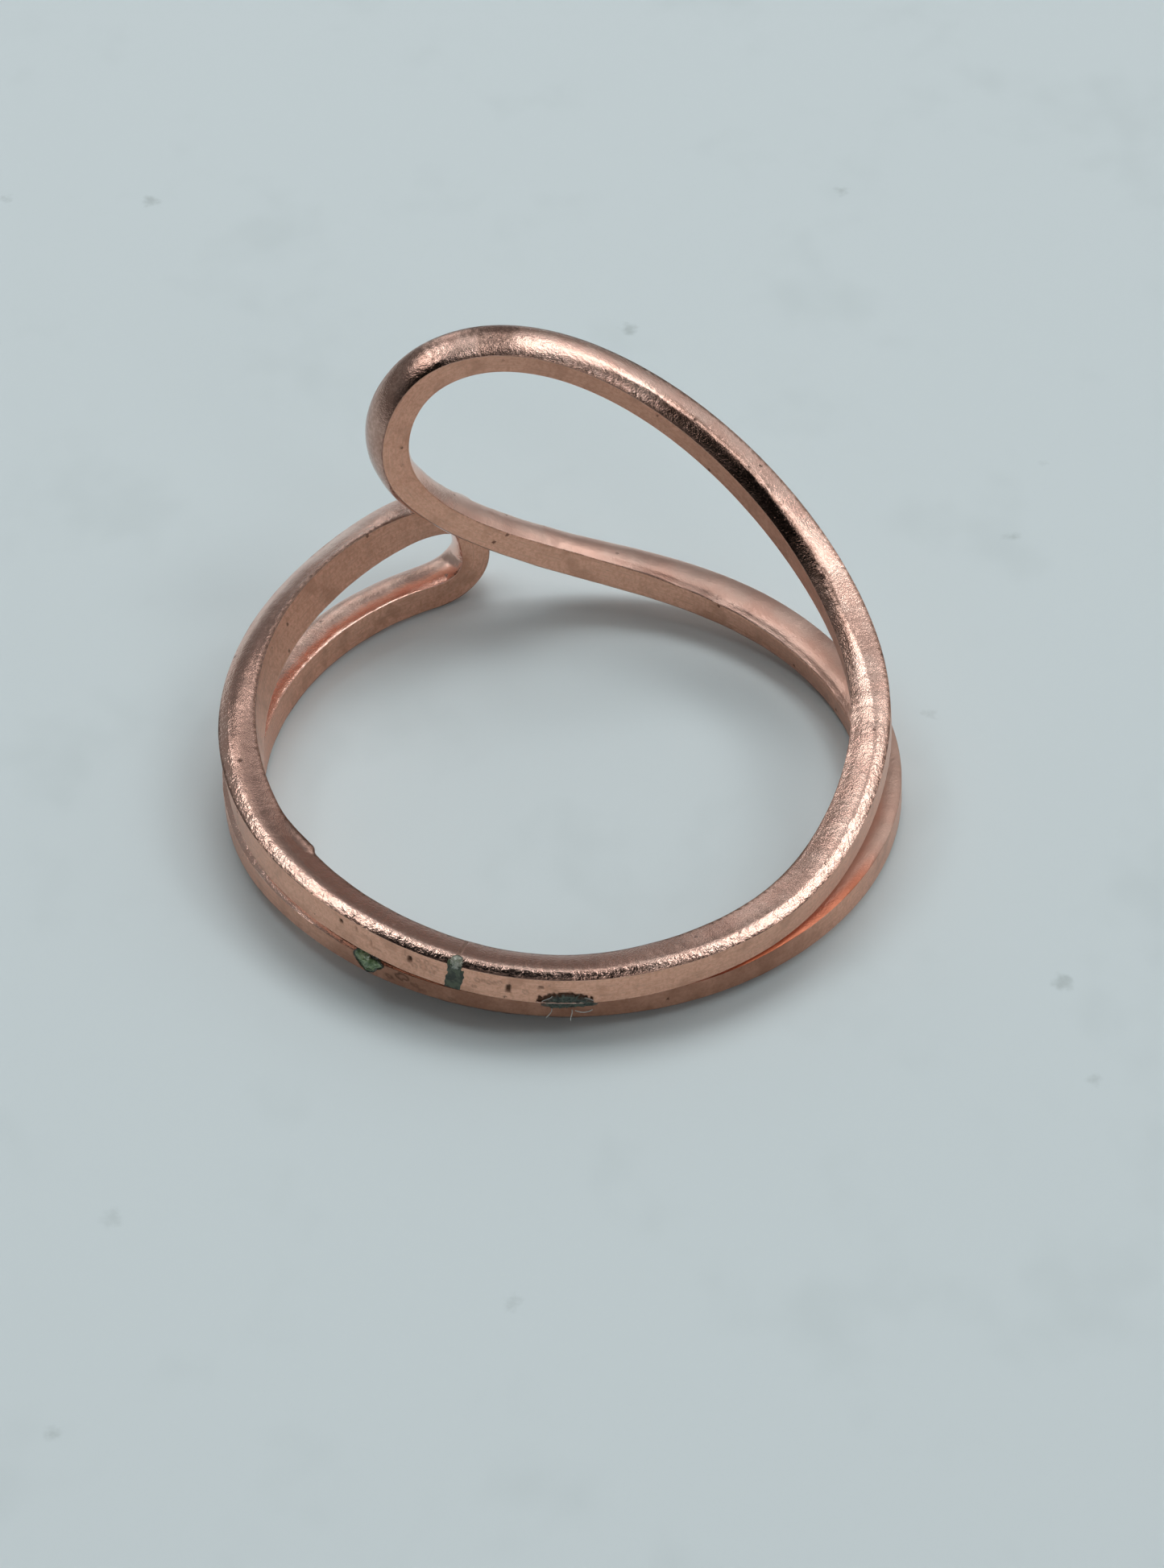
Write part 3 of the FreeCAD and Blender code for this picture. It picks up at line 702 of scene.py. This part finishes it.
def copper_colour(g, noises):
    """Bright crowns and browner faces, then darker brown patches, burnt flux and tarnish, with painted
    dark reflections on the crown and a painted orange red where light passes between the strands.
    """
    grain, blotch = noises.grain, noises.blotch
    polished = g.mix(g.stretch(blotch, 0.35, 0.65), *POLISHED)
    crown_colour = g.mix(g.times(g.attribute("worn"), 0.9), polished, g.mix(grain, *SATIN))
    face_colour = g.mix(g.stretch(grain, 0.35, 0.65), *FLAT_FACE)
    face_colour = g.mix(g.stretch(blotch, 0.50, 0.72, 0.0, 0.6), face_colour, FACE_BLOTCH)
    colour = g.mix(noises.crowned, face_colour, crown_colour)
    streaks = g.add_up(g.times(noises.along_lines, 0.5), g.times(grain, 0.5))
    streaks = g.stretch(streaks, 0.50, 0.66, 0.0, 0.45)
    colour = g.mix(g.times(streaks, noises.flat), colour, FACE_STREAK)
    # Darker and browner on the lower front, less on two of the arms.
    darker_brown = g.times(g.attribute("browned"), g.stretch(blotch, 0.25, 0.60, 0.65, 0.95))
    colour = g.mix(darker_brown, colour, g.mix(grain, *DARKER_BROWNS))
    # Painted dark reflections along the crown's edges and in bands, partly tarnish.
    dark = g.times(g.attribute("tarnish_and_painted_reflection"), g.stretch(grain, 0.30, 0.60, 0.60, 0.90))
    colour = g.mix(dark, colour, g.mix(blotch, *DARK_BAND))
    # Painted orange red light, passed on from the strand over the lower arm.
    colour = g.mix(g.times(g.attribute("painted_bounce"), 0.85), colour, ORANGE_RED)
    colour = g.mix(g.times(noises.pit, 0.75), colour, PIT_BOTTOM)
    return g.mix(noises.stain, colour, FLUX_STAIN)


def copper_roughness(g, noises):
    """Glossy crowns, satin where they are worn, and duller flat faces, pits and stains."""
    crown_gloss = g.stretch(noises.patches, 0.3, 0.7, 0.04, 0.09)
    crown_gloss = g.math("ADD", crown_gloss, g.times(g.attribute("satin"), 0.24))
    face_gloss = g.stretch(noises.grain, 0.3, 0.7, 0.28, 0.42)
    clean = g.mix_numbers(noises.crowned, face_gloss, crown_gloss)
    marks = g.times(g.math("MAXIMUM", noises.pit, noises.stain), 0.3)
    return g.math("ADD", clean, marks, clamp=True)


def copper_height(g, noises):
    """Grain all over, hammering in places, scratches across the crowns and along the faces."""
    fine, crowned = noises.fine, noises.crowned
    scratches = g.stretch(noises.patches, 0.42, 0.62, 0.08, 0.30)
    return g.add_up(
        noises.grain,
        g.times(g.times(noises.hammered, g.attribute("speckle")), 2.3),
        g.times(fine, 0.30),
        g.times(g.times(fine, crowned), 0.45),
        g.times(g.times(noises.across_lines, crowned), scratches),
        g.times(g.times(noises.along_lines, noises.flat), 0.7),
        g.times(noises.pit, -1.4),
    )


def copper_material():
    """Hand-worked copper: planished bright crowns, duller brown flat faces, pits and stains."""
    material, g = new_material("worked_copper")
    noises = copper_textures(g)
    g.shade({
        "Metallic": 1.0,
        "Base Color": copper_colour(g, noises),
        "Roughness": copper_roughness(g, noises),
        "Normal": g.bump(copper_height(g, noises), 0.010),
    })
    return material


def solder_material():
    """Solder at the joints: dark flux crust on the face, dull and coppery where it was filed."""
    material, g = new_material("tarnished_solder")
    place = g.millimetres()
    grain = g.noise(place, (12, 12, 12), 4, 0.65)
    lumps = g.noise(place, (4.5, 4.5, 4.5), 2, 0.5)
    crusted = g.attribute("crusted")
    crust = g.mix(g.stretch(lumps, 0.40, 0.62), rgb(0.024, 0.030, 0.018), rgb(0.085, 0.105, 0.062))
    crust = g.mix(g.stretch(grain, 0.55, 0.70, 0.0, 0.5), crust, rgb(0.22, 0.21, 0.15))
    filed = g.mix(g.stretch(grain, 0.35, 0.65), rgb(0.34, 0.20, 0.15), rgb(0.48, 0.30, 0.235))
    g.shade({
        "Base Color": g.mix(crusted, filed, crust),
        "Metallic": g.less(1.0, crusted),
        "Roughness": g.stretch(grain, 0.3, 0.7, 0.28, 0.55),
        "Normal": g.bump(g.add_up(grain, g.times(lumps, 0.8)), 0.012),
    })
    return material


def glass_material(name, deep, pale, rim, clear, gloss):
    """A crumb of fused flux: glassy and veined inside, with a burnt rim."""
    material, g = new_material(name)
    place = g.millimetres()
    veins = g.noise(place, (7, 7, 7), 3, 0.6, 0.6)
    frost = g.noise(place, (20, 20, 20), 3, 0.6)
    colour = g.mix(g.stretch(veins, 0.38, 0.62), deep, pale)
    colour = g.mix(g.stretch(g.attribute("burnt"), 0.35, 0.85), colour, rim)
    g.shade({
        "Base Color": colour,
        "Roughness": g.stretch(frost, 0.35, 0.65, 0.56 - gloss, 0.80 - gloss),
        "Transmission Weight": clear,
        "IOR": 1.5,
        "Coat Weight": gloss,
        "Coat Roughness": 0.06,
        "Normal": g.bump(g.add_up(g.times(frost, 0.4), veins), 0.010),
    })
    return material


def fibre_material():
    """Pale fluff, a little uneven."""
    material, g = new_material("pale_fibre")
    grain = g.noise(g.millimetres(), (18, 18, 18), 2)
    g.shade({
        "Base Color": g.mix(grain, rgb(0.50, 0.47, 0.43), rgb(0.78, 0.76, 0.72)),
        "Roughness": g.stretch(grain, 0.3, 0.7, 0.45, 0.7),
    })
    return material


def floor_material():
    """A pale plain surface with faint smudges and a few specks."""
    material, g = new_material("pale_surface")
    place = g.millimetres()
    smudge = g.noise(place, (0.16, 0.13, 1), 3, 0.6)
    smudge = g.stretch(smudge, 0.52, 0.72, 0.0, 0.14)
    distance, chosen = g.scattered_spots(place, (0.30, 0.26, 1), 1, 0.60, 0.75)
    ragged = g.math("ADD", distance, g.times(g.noise(place, (3, 3, 1), 2), 0.16))
    spot = g.times(g.stretch(ragged, 0.09, 0.20, 0.5, 0.0), chosen)
    colour = g.mix(smudge, rgb(0.745, 0.81, 0.825), rgb(0.46, 0.52, 0.52))
    g.shade({
        "Base Color": g.mix(spot, colour, rgb(0.40, 0.45, 0.44)),
        "Roughness": 0.5,
        "Specular IOR Level": 0.3,
    })
    return material


# ===== Pieces =====

def joint_frame(angle, radius, height, lean):
    """A place on the ring, and its tangent, upward and outward directions, leaning back."""
    turn = math.radians(angle)
    outward = np.array([math.cos(turn), math.sin(turn), 0])
    tangent = np.array([-math.sin(turn), math.cos(turn), 0])
    up = np.array([0, 0, 1.0])
    normal, slope = turned(outward, up, math.radians(lean))
    return radius * outward + height * up, tangent, slope, normal


BLOB_TURNS = 96
BLOB_RINGS = 16
BLOB_DEPTH = 0.08


def blob_faces(count):
    """A fan round the first point, bands of quads, and a fan round the last of count points."""
    faces = []
    for i in range(BLOB_TURNS):
        j = (i + 1) % BLOB_TURNS
        faces.append((0, 1 + i, 1 + j))
        for ring in range(2 * BLOB_RINGS - 1):
            start = 1 + ring * BLOB_TURNS
            faces.append((start + i, start + BLOB_TURNS + i, start + BLOB_TURNS + j, start + j))
        start = 1 + (2 * BLOB_RINGS - 1) * BLOB_TURNS
        faces.append((start + i, count - 1, start + j))
    return faces


def make_blob(name, place, outline, top, seed, ragged):
    """A closed crumb: an outline in tangent and upward millimetres, with a shaped top."""
    centre, tangent, up, normal = joint_frame(*place)
    corners = np.array(outline)
    corner_angles = np.unwrap(np.arctan2(corners[:, 1], corners[:, 0]))
    reach = np.hypot(corners[:, 0], corners[:, 1])
    order = np.argsort(corner_angles)
    first = corner_angles.min()
    turn = np.linspace(first, first + 2 * math.pi, BLOB_TURNS, endpoint=False)
    radius = np.interp(turn, corner_angles[order], reach[order], period=2 * math.pi)
    radius = radius * (1 + ragged * waves(turn, 0 * turn, seed, 7, 2.4, 0.22, 0))
    share = np.sin(np.linspace(0, math.pi / 2, BLOB_RINGS + 1))[1:, None]
    t, k = share * radius * np.cos(turn), share * radius * np.sin(turn)
    height = top(t, k, share)
    upper = centre + t[..., None] * tangent + k[..., None] * up + height[..., None] * normal
    under = upper[::-1] - BLOB_DEPTH * normal
    middle = np.zeros((1, 1))
    apex = centre + top(middle, middle, middle)[0, 0] * normal
    base = apex - BLOB_DEPTH * normal
    points = np.concatenate([[apex], upper.reshape(-1, 3), under.reshape(-1, 3), [base]])
    piece = new_mesh_object(name, points, blob_faces(len(points)))
    top_burnt = np.repeat(share ** 4, BLOB_TURNS)
    under_burnt = np.ones(BLOB_TURNS * BLOB_RINGS + 1)
    add_attribute(piece, "burnt", np.concatenate([[0], top_burnt, under_burnt]))
    return piece


def faceted(planes, height):
    """A top made of flat facets: each plane's direction, slope and distance."""
    def top(t, k, share):
        level = np.full(np.broadcast(t, k).shape, height)
        for direction, slope, distance in planes:
            turn = math.radians(direction)
            plane = (distance - t * math.cos(turn) - k * math.sin(turn)) * slope
            level = np.minimum(level, plane)
        return np.maximum(level * (1 - share ** 10), -0.05)
    return top


def domed(height, seed):
    """A top like a droplet's, a little lumpy."""
    def top(t, k, share):
        lumps = 1 + 0.16 * waves(t * 6, k * 14, seed, 6, 2.5, 0.8, 1.0)
        return height * np.sqrt(np.clip(1 - share ** 2, 0, 1)) * lumps - 0.02
    return top


def sunk_crust(t, k, share):
    """The seam's patch: a lumpy skin that follows the upper wire's face, then the lower wire's."""
    skin = -0.030 - 0.55 * np.maximum(-k - 0.02, 0)
    lumps = 0.014 * waves(t * 9, k * 22, 51, 9, 3.5, 0.9, 1.2)
    return skin + lumps - 0.05 * fade(share, 0.86, 1.0)


FILED_HALF = SOLDER_HALF_GAP + 0.015  # half the width of the solder where it was filed
FILED_HEIGHT = 0.004
CRUST_HEIGHT = 0.020
CRUST_ARRIS = 0.84  # how far out on the upper crown the crust starts
JOINT_SINK = 0.03  # how deep under the wire's surface the ends of a joint's piece lie
JOINT_MARGIN = 0.14
JOINT_STEP = 0.012


def joint_extra(centre, crust_half):
    """Stands the solder proud over a ragged patch on the outer face, and nearly flush elsewhere."""
    def extra(along):
        s = along[:, None] - centre
        q = ACROSS
        ragged = 0.045 * waves(s * 5, q * 4, 61, 9, 3.0, 0.7, 2.0)
        lean = -0.06 * fade(q, 0.2, 1.0)
        on_face = (SIDE == OUTER) * crust_half
        over_arris = ((SIDE == UPPER) & (q > CRUST_ARRIS)) * crust_half * 0.8
        half = np.maximum(np.maximum(on_face, over_arris), FILED_HALF)
        crust = half > FILED_HALF
        inside = fade(half + ragged * crust - np.abs(s - lean), -0.02, 0.02)
        return np.where(crust, CRUST_HEIGHT, FILED_HEIGHT) * inside - JOINT_SINK * (1 - inside)
    return extra


def make_joint(name, centre, crust_half):
    """The solder at a joint: a short length of the wire's section, with or without a crust."""
    reach = max(crust_half, 0.1) + JOINT_MARGIN
    along = np.linspace(centre - reach, centre + reach, int(2 * reach / JOINT_STEP))
    piece = finish_sweep(name, along, joint_extra(centre, crust_half))
    crusted = ((SIDE == OUTER) | ((SIDE == UPPER) & (ACROSS > CRUST_ARRIS))) * (crust_half > 0)
    add_attribute(piece, "crusted", np.tile(crusted, len(along)))
    return piece


THREAD_SIDES = 6
THREAD_STEPS = 14


def make_threads(name, threads, radius):
    """Fine fibres, as one mesh: each follows a Bezier curve with four control points."""
    points, faces = [], []
    for stops in threads:
        stops = np.array(stops, float)
        t = np.linspace(0, 1, THREAD_STEPS)[:, None]
        bases = [(1 - t) ** 3, 3 * t * (1 - t) ** 2, 3 * t ** 2 * (1 - t), t ** 3]
        line = sum(base * stop for base, stop in zip(bases, stops))
        along = unit(np.gradient(line, axis=0))
        first = unit(np.cross(along, (0.3, 0.2, 0.9)))
        second = np.cross(along, first)
        turn = np.linspace(0, 2 * math.pi, THREAD_SIDES, endpoint=False)[None, :, None]
        spokes = np.cos(turn) * first[:, None] + np.sin(turn) * second[:, None]
        ring = line[:, None] + radius * spokes
        start = sum(len(p) for p in points)
        faces += [[n + start for n in face] for face in tube_faces(len(line), THREAD_SIDES)]
        points.append(ring.reshape(-1, 3))
    return new_mesh_object(name, np.concatenate(points), faces)


def dress(piece, material, slot, *nodes):
    """Gives a piece its material, and hides the CAD nodes that it stands for. The slot is not used."""
    piece.data.materials.append(material)
    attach(piece, "root")
    if nodes:
        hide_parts(*nodes)


UPPER_JOINT_ANGLE = COURSE[UPPER_JOINT][0]
LOWER_JOINT_ANGLE = COURSE[LOWER_JOINT][0]
UPPER_CRUST_HALF = 0.22  # half the width of the crust at the upper joint
lower_joint = course.knots[LOWER_JOINT]
copper = copper_material()
solder = solder_material()

dress(make_wire("large_loop_worked", SOLDER_HALF_GAP, lower_joint - SOLDER_HALF_GAP),
      copper, "copper", "large_loop_wire")
dress(make_wire("small_loop_worked", lower_joint + SOLDER_HALF_GAP, course.length - SOLDER_HALF_GAP),
      copper, "copper", "small_loop_wire")
dress(make_joint("upper_joint_crust", course.length, UPPER_CRUST_HALF),
      solder, "solder", "upper_butt_solder")
dress(make_joint("lower_joint_filed", lower_joint, 0.0), solder, "solder", "lower_butt_solder")

# The flux pieces: the angle, radius, height and lean of each, and its outline along and upwards
# from its middle. A facet of the chip has the direction that it faces, its slope and how far out
# it comes down to the face.
CHIP_PLACE = (LOWER_JOINT_ANGLE, 9.97, 1.39, 12)
CHIP_OUTLINE = (
    (-0.50, 0.04), (-0.40, 0.17), (-0.12, 0.19), (0.15, 0.13), (0.36, 0.10), (0.54, -0.08),
    (0.36, -0.20), (0.26, -0.33), (0.04, -0.44), (-0.14, -0.34), (-0.30, -0.22),
)
CHIP_FACETS = (
    (100, 1.6, 0.16), (35, 0.7, 0.36), (-30, 0.9, 0.34), (-75, 0.8, 0.33), (-130, 0.9, 0.28),
    (170, 0.7, 0.36),
)
chip = make_blob("lower_flux_chip", CHIP_PLACE, CHIP_OUTLINE, faceted(CHIP_FACETS, 0.16),
                 seed=71, ragged=0.02)
green_flux = glass_material(
    "green_flux", deep=rgb(0.13, 0.23, 0.08), pale=rgb(0.42, 0.56, 0.27),
    rim=rgb(0.045, 0.06, 0.03), clear=0.35, gloss=0.5)
dress(chip, green_flux, "flux_glass", "flux_bead_lower")

DROPLET_PLACE = (UPPER_JOINT_ANGLE + 0.2, 9.94, 2.44, 42)
DROPLET_OUTLINE = ((0.20, 0.02), (0.15, 0.16), (0.02, 0.20), (-0.13, 0.17), (-0.21, 0.03),
                   (-0.18, -0.13), (-0.02, -0.20), (0.15, -0.14))
droplet = make_blob("upper_flux_droplet", DROPLET_PLACE, DROPLET_OUTLINE, domed(0.10, 72),
                    seed=73, ragged=0.05)
pale_flux = glass_material(
    "pale_flux", deep=rgb(0.36, 0.40, 0.29), pale=rgb(0.66, 0.66, 0.55),
    rim=rgb(0.16, 0.17, 0.12), clear=0.45, gloss=0.5)
dress(droplet, pale_flux, "flux_glass", "flux_bead_upper")

PATCH_PLACE = (-88.9, 10.03, 1.20, 0)
PATCH_OUTLINE = (
    (0.86, 0.03), (0.70, 0.16), (0.40, 0.30), (0.10, 0.34), (-0.25, 0.33), (-0.55, 0.22),
    (-0.78, 0.06), (-0.66, -0.12), (-0.40, -0.24), (-0.05, -0.28), (0.30, -0.24), (0.62, -0.14),
)
patch = make_blob("seam_flux_crust", PATCH_PLACE, PATCH_OUTLINE, sunk_crust, seed=74, ragged=0.16)
teal_flux = glass_material(
    "teal_flux", deep=rgb(0.016, 0.024, 0.017), pale=rgb(0.090, 0.120, 0.090),
    rim=rgb(0.15, 0.12, 0.09), clear=0.05, gloss=0.12)
dress(patch, teal_flux, "flux_crust", "flux_bead_seam")

# Control points of the fibres at the patch, along, outwards and upwards from this place.
FIBRES_PLACE = (-88.9, 9.93, 1.20, 0)
FIBRE_RADIUS = 0.014
FIBRES = (
    ((-0.42, -0.02, -0.24), (-0.40, 0.04, -0.34), (-0.50, 0.06, -0.40), (-0.58, 0.06, -0.52)),
    ((0.15, -0.02, -0.30), (0.18, 0.05, -0.40), (0.09, 0.07, -0.50), (0.11, 0.07, -0.66)),
    ((0.24, 0.04, -0.28), (0.45, 0.07, -0.36), (0.60, 0.06, -0.34), (0.72, 0.05, -0.24)),
    ((-0.70, 0.03, 0.10), (-0.60, 0.06, 0.26), (-0.45, 0.05, 0.20), (-0.40, 0.03, 0.32)),
    ((0.50, 0.03, 0.22), (0.66, 0.05, 0.24), (0.74, 0.05, 0.10), (0.88, 0.03, 0.06)),
)


def fibre_points(stops):
    """Turns along, outward and upward millimetres at the patch into points of the frame."""
    centre, tangent, up, outward = joint_frame(*FIBRES_PLACE)
    return [centre + t * tangent + n * outward + k * up for t, n, k in stops]


fibres = make_threads("seam_fibres", [fibre_points(stops) for stops in FIBRES], FIBRE_RADIUS)
dress(fibres, fibre_material(), "flux_crust")

for slot_used in bpy.data.objects["seam_solder"].material_slots:
    slot_used.material = solder

# ===== Floor, light and camera =====

FLOOR_HALF = 400
CORNERS = ((-1, -1), (1, -1), (1, 1), (-1, 1))
floor_corners = [(x * FLOOR_HALF, y * FLOOR_HALF, 0) for x, y in CORNERS]
floor = new_mesh_object("floor", floor_corners, [(0, 1, 2, 3)], smooth=False)
floor.data.materials.append(floor_material())

# Softboxes round the bench: azimuth from straight behind the ring (towards the right), elevation,
# radius of the full brightness, radius where it has faded out, and brightness added.
SOFTBOXES = (
    (66, 42, 16, 36, 0.20), (40, 31, 5, 15, 0.36), (84, 24, 8, 20, 0.20),
    (62, 57, 2, 8, 5.20), (17, 66, 2, 8, 1.50), (96, 50, 3, 10, 4.50),
    (150, 30, 4, 11, 2.60), (97, 67, 3, 8, 3.00), (-62, 72, 3, 8, 3.00),
    (-44, 54, 2, 8, 3.80), (-66, 60, 2, 8, 4.40), (-10, 70, 12, 30, 0.12),
    (-14, 22, 4, 11, 0.90), (-16, 52, 4, 12, 0.45), (30, 42, 4, 11, 0.40),
)
# The photographer leaning over the bench: the same angles, and the share of light taken away.
SHADES = (
    (-172, 66, 14, 24, 0.95),
    (175, 49, 9, 18, 0.90),
    (-118, 32, 8, 24, 0.60),
    (-135, 56, 12, 20, 0.95),
)
HORIZON_LIGHT = 0.22
ZENITH_LIGHT = 0.205
SKY_COLOUR = rgb(0.93, 0.985, 1.0)
LAMP_SIZE = 0.16  # the lamp's size and distance are in metres
LAMP_ENERGY = 0.22
LAMP_COLOUR = (0.97, 0.99, 1.0)
LAMP_DISTANCE = 0.3
LAMP_DIRECTION = (4, 66)  # azimuth and elevation


def sky_direction(azimuth, elevation):
    """A direction from its azimuth, clockwise from straight behind the ring, and elevation."""
    turn = math.radians(azimuth)
    rise = math.radians(elevation)
    return (math.sin(turn) * math.cos(rise), math.cos(turn) * math.cos(rise), math.sin(rise))


def make_studio():
    """Soft studio light: large soft sources all round, and darkness where the photographer is."""
    world = bpy.data.worlds.new("studio")
    bpy.context.scene.world = world
    g = Graph(world)
    view = g.add("ShaderNodeTexCoord").outputs["Generated"]

    def lobe(azimuth, elevation, full, faded, amount):
        facing = g.add("ShaderNodeVectorMath", {0: view, 1: sky_direction(azimuth, elevation)},
                       operation="DOT_PRODUCT").outputs["Value"]
        edges = math.cos(math.radians(faded)), math.cos(math.radians(full))
        return g.stretch(facing, *edges, 0.0, amount)

    height = g.add("ShaderNodeSeparateXYZ", {"Vector": view}).outputs["Z"]
    light = g.stretch(height, 0.0, 0.8, HORIZON_LIGHT, ZENITH_LIGHT)
    for softbox in SOFTBOXES:
        light = g.math("ADD", light, lobe(*softbox))
    for shade in SHADES:
        light = g.times(light, g.less(1.0, lobe(*shade)))
    background = g.nodes["Background"]
    g.feed(SKY_COLOUR, background.inputs["Color"])
    g.feed(light, background.inputs["Strength"])


def aim(eye, forward, up):
    """A placement that looks along forward from eye."""
    forward = Vector(forward).normalized()
    right = forward.cross(Vector(up)).normalized()
    over = right.cross(forward)
    basis = Matrix((right, over, -forward)).transposed()
    return Matrix.Translation(Vector(eye)) @ basis.to_4x4()


def add_overhead_lamp():
    """A soft lamp above and behind the ring, for the shadows on the floor. Metal doesn't show it."""
    data = bpy.data.lights.new("overhead", "AREA")
    data.shape = "DISK"
    data.size = LAMP_SIZE
    data.energy = LAMP_ENERGY
    data.color = LAMP_COLOUR
    lamp = add_object("overhead", data)
    towards = Vector(sky_direction(*LAMP_DIRECTION))
    lamp.matrix_world = aim(towards * LAMP_DISTANCE, -towards, (0, 1, 0))
    lamp.visible_glossy = False


CAMERA_DISTANCE = 120.0
CAMERA_ELEVATION = math.radians(43.41)
CAMERA_AIM_HEIGHT = 1.5
CAMERA_YAW = math.radians(0.333)
CAMERA_PITCH = math.radians(-0.463)
CAMERA_ROLL = math.radians(-0.328)
IMAGE_WIDTH = 1445
FOCAL_LENGTH_IN_PIXELS = 5014.2
SENSOR_WIDTH = 36.0


def add_camera():
    """The camera at the photograph's angle."""
    eye = Vector((0, -CAMERA_DISTANCE * math.cos(CAMERA_ELEVATION),
                  CAMERA_AIM_HEIGHT + CAMERA_DISTANCE * math.sin(CAMERA_ELEVATION)))
    forward = Vector((0, math.cos(CAMERA_ELEVATION), -math.sin(CAMERA_ELEVATION)))
    right = Vector((1, 0, 0))
    up = right.cross(forward)
    forward, right = turned(forward, right, CAMERA_YAW)
    forward, up = turned(forward, up, CAMERA_PITCH)
    right, up = turned(right, up, CAMERA_ROLL)
    data = bpy.data.cameras.new("camera")
    data.sensor_fit = "HORIZONTAL"
    data.sensor_width = SENSOR_WIDTH
    data.lens = FOCAL_LENGTH_IN_PIXELS / IMAGE_WIDTH * SENSOR_WIDTH
    data.clip_start = 0.005
    data.clip_end = 5
    camera = add_object("camera", data)
    camera.matrix_world = aim(eye * MM, forward, up)
    bpy.context.scene.camera = camera


make_studio()
add_overhead_lamp()
add_camera()
bpy.context.scene.view_settings.view_transform = "Standard"
